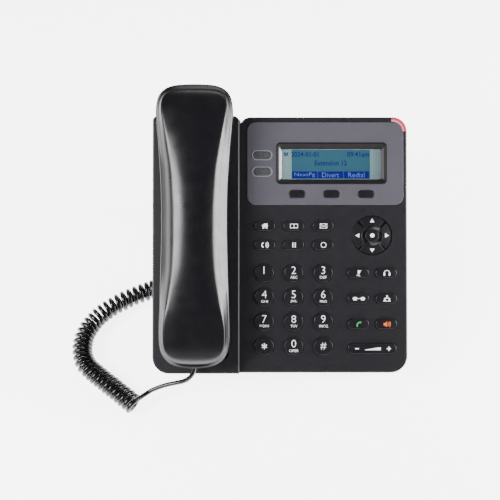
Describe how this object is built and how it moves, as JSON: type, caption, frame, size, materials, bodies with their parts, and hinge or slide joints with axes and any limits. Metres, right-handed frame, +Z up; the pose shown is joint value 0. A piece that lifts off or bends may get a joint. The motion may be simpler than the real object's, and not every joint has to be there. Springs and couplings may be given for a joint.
{
  "type": "desk ip phone",
  "caption": "Desk IP telephone with a corded handset in a left cradle, sloped face, small display, dial and function keys, on a rear stand.",
  "frame": {"origin": "centre of the footprint box on the desk, the free handset cord not counted", "axes": "+Z up, +X to the user's right, +Y away from the user"},
  "size_m": [0.2826, 0.2237, 0.1606],
  "materials": {
    "housing_plastic": "fine textured",
    "fascia_plastic": "satin",
    "key_plastic": "satin",
    "line_key_plastic": "translucent grey",
    "window": "clear",
    "lcd_glass": "matt",
    "lamp_red": "translucent red",
    "silicone": "matt",
    "pcb_green": "solder mask",
    "speaker_black": "matt",
    "port_plastic": "matt",
    "foot_rubber": "matt",
    "screw_steel": "zinc",
    "cord_black": "glossy",
    "plug_clear": "clear",
    "handset_gloss": "semi-gloss"
  },
  "bodies": {
    "root": {"front_housing": "housing_plastic", "rear_cover": "housing_plastic", "display_panel": "fascia_plastic", "display_lens": "window", "lcd_module": "lcd_glass", "message_lamp_lens": "lamp_red", "keypad_mat": "silicone", "main_board": "pcb_green", "loudspeaker": "speaker_black", "network_jacks": "port_plastic", "modular_jacks": "port_plastic", "stand": "housing_plastic", "rubber_feet": "foot_rubber", "housing_screws": "screw_steel", "cord_coil": "cord_black", "cord_lead_handset": "cord_black", "cord_lead_base": "cord_black", "plug_base": "plug_clear"},
    "handset": {"handset_back_shell": "handset_gloss", "handset_face_shell": "handset_gloss", "earpiece_capsule": "speaker_black", "handset_microphone": "speaker_black", "handset_jack": "port_plastic", "plug_handset": "plug_clear"},
    "hook": {"hook_plunger": "key_plastic"},
    "volume": {"key_volume": "key_plastic"},
    "key_dial_1": {"key_dial_1": "key_plastic"},
    "key_dial_2": {"key_dial_2": "key_plastic"},
    "key_dial_3": {"key_dial_3": "key_plastic"},
    "key_dial_4": {"key_dial_4": "key_plastic"},
    "key_dial_5": {"key_dial_5": "key_plastic"},
    "key_dial_6": {"key_dial_6": "key_plastic"},
    "key_dial_7": {"key_dial_7": "key_plastic"},
    "key_dial_8": {"key_dial_8": "key_plastic"},
    "key_dial_9": {"key_dial_9": "key_plastic"},
    "key_dial_star": {"key_dial_star": "key_plastic"},
    "key_dial_0": {"key_dial_0": "key_plastic"},
    "key_dial_hash": {"key_dial_hash": "key_plastic"},
    "key_home": {"key_home": "key_plastic"},
    "key_book": {"key_book": "key_plastic"},
    "key_mail": {"key_mail": "key_plastic"},
    "key_transfer": {"key_transfer": "key_plastic"},
    "key_hold": {"key_hold": "key_plastic"},
    "key_record": {"key_record": "key_plastic"},
    "key_mute": {"key_mute": "key_plastic"},
    "key_headset": {"key_headset": "key_plastic"},
    "key_intercom": {"key_intercom": "key_plastic"},
    "key_conference": {"key_conference": "key_plastic"},
    "key_send": {"key_send": "key_plastic"},
    "key_speaker": {"key_speaker": "key_plastic"},
    "key_soft_1": {"key_soft_1": "key_plastic"},
    "key_soft_2": {"key_soft_2": "key_plastic"},
    "key_soft_3": {"key_soft_3": "key_plastic"},
    "key_line_1": {"key_line_1": "line_key_plastic"},
    "key_line_2": {"key_line_2": "line_key_plastic"},
    "key_nav_right": {"key_nav_right": "key_plastic"},
    "key_nav_up": {"key_nav_up": "key_plastic"},
    "key_nav_left": {"key_nav_left": "key_plastic"},
    "key_nav_down": {"key_nav_down": "key_plastic"},
    "key_nav_centre": {"key_nav_centre": "key_plastic"}
  },
  "joints": [
    {"name": "handset_lift", "type": "slide", "parent": "root", "child": "handset", "axis": [0, -0.5, 0.866], "range_m": [0, 0.06]},
    {"name": "hook_rise", "type": "slide", "parent": "root", "child": "hook", "axis": [0, -0.5, 0.866], "range_m": [0, 0.004]},
    {"name": "press_dial_1", "type": "slide", "parent": "root", "child": "key_dial_1", "axis": [0, 0.5, -0.866], "range_m": [0, 0.001], "stiffness_N_per_m": 300},
    {"name": "press_dial_2", "type": "slide", "parent": "root", "child": "key_dial_2", "axis": [0, 0.5, -0.866], "range_m": [0, 0.001], "stiffness_N_per_m": 300},
    {"name": "press_dial_3", "type": "slide", "parent": "root", "child": "key_dial_3", "axis": [0, 0.5, -0.866], "range_m": [0, 0.001], "stiffness_N_per_m": 300},
    {"name": "press_dial_4", "type": "slide", "parent": "root", "child": "key_dial_4", "axis": [0, 0.5, -0.866], "range_m": [0, 0.001], "stiffness_N_per_m": 300},
    {"name": "press_dial_5", "type": "slide", "parent": "root", "child": "key_dial_5", "axis": [0, 0.5, -0.866], "range_m": [0, 0.001], "stiffness_N_per_m": 300},
    {"name": "press_dial_6", "type": "slide", "parent": "root", "child": "key_dial_6", "axis": [0, 0.5, -0.866], "range_m": [0, 0.001], "stiffness_N_per_m": 300},
    {"name": "press_dial_7", "type": "slide", "parent": "root", "child": "key_dial_7", "axis": [0, 0.5, -0.866], "range_m": [0, 0.001], "stiffness_N_per_m": 300},
    {"name": "press_dial_8", "type": "slide", "parent": "root", "child": "key_dial_8", "axis": [0, 0.5, -0.866], "range_m": [0, 0.001], "stiffness_N_per_m": 300},
    {"name": "press_dial_9", "type": "slide", "parent": "root", "child": "key_dial_9", "axis": [0, 0.5, -0.866], "range_m": [0, 0.001], "stiffness_N_per_m": 300},
    {"name": "press_dial_star", "type": "slide", "parent": "root", "child": "key_dial_star", "axis": [0, 0.5, -0.866], "range_m": [0, 0.001], "stiffness_N_per_m": 300},
    {"name": "press_dial_0", "type": "slide", "parent": "root", "child": "key_dial_0", "axis": [0, 0.5, -0.866], "range_m": [0, 0.001], "stiffness_N_per_m": 300},
    {"name": "press_dial_hash", "type": "slide", "parent": "root", "child": "key_dial_hash", "axis": [0, 0.5, -0.866], "range_m": [0, 0.001], "stiffness_N_per_m": 300},
    {"name": "press_home", "type": "slide", "parent": "root", "child": "key_home", "axis": [0, 0.5, -0.866], "range_m": [0, 0.001], "stiffness_N_per_m": 300},
    {"name": "press_book", "type": "slide", "parent": "root", "child": "key_book", "axis": [0, 0.5, -0.866], "range_m": [0, 0.001], "stiffness_N_per_m": 300},
    {"name": "press_mail", "type": "slide", "parent": "root", "child": "key_mail", "axis": [0, 0.5, -0.866], "range_m": [0, 0.001], "stiffness_N_per_m": 300},
    {"name": "press_transfer", "type": "slide", "parent": "root", "child": "key_transfer", "axis": [0, 0.5, -0.866], "range_m": [0, 0.001], "stiffness_N_per_m": 300},
    {"name": "press_hold", "type": "slide", "parent": "root", "child": "key_hold", "axis": [0, 0.5, -0.866], "range_m": [0, 0.001], "stiffness_N_per_m": 300},
    {"name": "press_record", "type": "slide", "parent": "root", "child": "key_record", "axis": [0, 0.5, -0.866], "range_m": [0, 0.001], "stiffness_N_per_m": 300},
    {"name": "press_mute", "type": "slide", "parent": "root", "child": "key_mute", "axis": [0, 0.5, -0.866], "range_m": [0, 0.001], "stiffness_N_per_m": 300},
    {"name": "press_headset", "type": "slide", "parent": "root", "child": "key_headset", "axis": [0, 0.5, -0.866], "range_m": [0, 0.001], "stiffness_N_per_m": 300},
    {"name": "press_intercom", "type": "slide", "parent": "root", "child": "key_intercom", "axis": [0, 0.5, -0.866], "range_m": [0, 0.001], "stiffness_N_per_m": 300},
    {"name": "press_conference", "type": "slide", "parent": "root", "child": "key_conference", "axis": [0, 0.5, -0.866], "range_m": [0, 0.001], "stiffness_N_per_m": 300},
    {"name": "press_send", "type": "slide", "parent": "root", "child": "key_send", "axis": [0, 0.5, -0.866], "range_m": [0, 0.001], "stiffness_N_per_m": 300},
    {"name": "press_speaker", "type": "slide", "parent": "root", "child": "key_speaker", "axis": [0, 0.5, -0.866], "range_m": [0, 0.001], "stiffness_N_per_m": 300},
    {"name": "press_soft_1", "type": "slide", "parent": "root", "child": "key_soft_1", "axis": [0, 0.5, -0.866], "range_m": [0, 0.001], "stiffness_N_per_m": 300},
    {"name": "press_soft_2", "type": "slide", "parent": "root", "child": "key_soft_2", "axis": [0, 0.5, -0.866], "range_m": [0, 0.001], "stiffness_N_per_m": 300},
    {"name": "press_soft_3", "type": "slide", "parent": "root", "child": "key_soft_3", "axis": [0, 0.5, -0.866], "range_m": [0, 0.001], "stiffness_N_per_m": 300},
    {"name": "press_line_1", "type": "slide", "parent": "root", "child": "key_line_1", "axis": [0, 0.5, -0.866], "range_m": [0, 0.001], "stiffness_N_per_m": 300},
    {"name": "press_line_2", "type": "slide", "parent": "root", "child": "key_line_2", "axis": [0, 0.5, -0.866], "range_m": [0, 0.001], "stiffness_N_per_m": 300},
    {"name": "press_nav_right", "type": "slide", "parent": "root", "child": "key_nav_right", "axis": [0, 0.5, -0.866], "range_m": [0, 0.001], "stiffness_N_per_m": 300},
    {"name": "press_nav_up", "type": "slide", "parent": "root", "child": "key_nav_up", "axis": [0, 0.5, -0.866], "range_m": [0, 0.001], "stiffness_N_per_m": 300},
    {"name": "press_nav_left", "type": "slide", "parent": "root", "child": "key_nav_left", "axis": [0, 0.5, -0.866], "range_m": [0, 0.001], "stiffness_N_per_m": 300},
    {"name": "press_nav_down", "type": "slide", "parent": "root", "child": "key_nav_down", "axis": [0, 0.5, -0.866], "range_m": [0, 0.001], "stiffness_N_per_m": 300},
    {"name": "press_nav_centre", "type": "slide", "parent": "root", "child": "key_nav_centre", "axis": [0, 0.5, -0.866], "range_m": [0, 0.001], "stiffness_N_per_m": 300},
    {"name": "volume_rock", "type": "hinge", "parent": "root", "child": "volume", "pos_m": [0.0752, -0.07587, 0.03052], "axis": [0, 0.866, 0.5], "range_deg": [-2.5, 2.5], "stiffness_Nm_per_rad": 0.05}
  ],
  "couplings": [
    {"joint": "hook_rise", "follows": "handset_lift", "ratio": 0.0666}
  ]
}
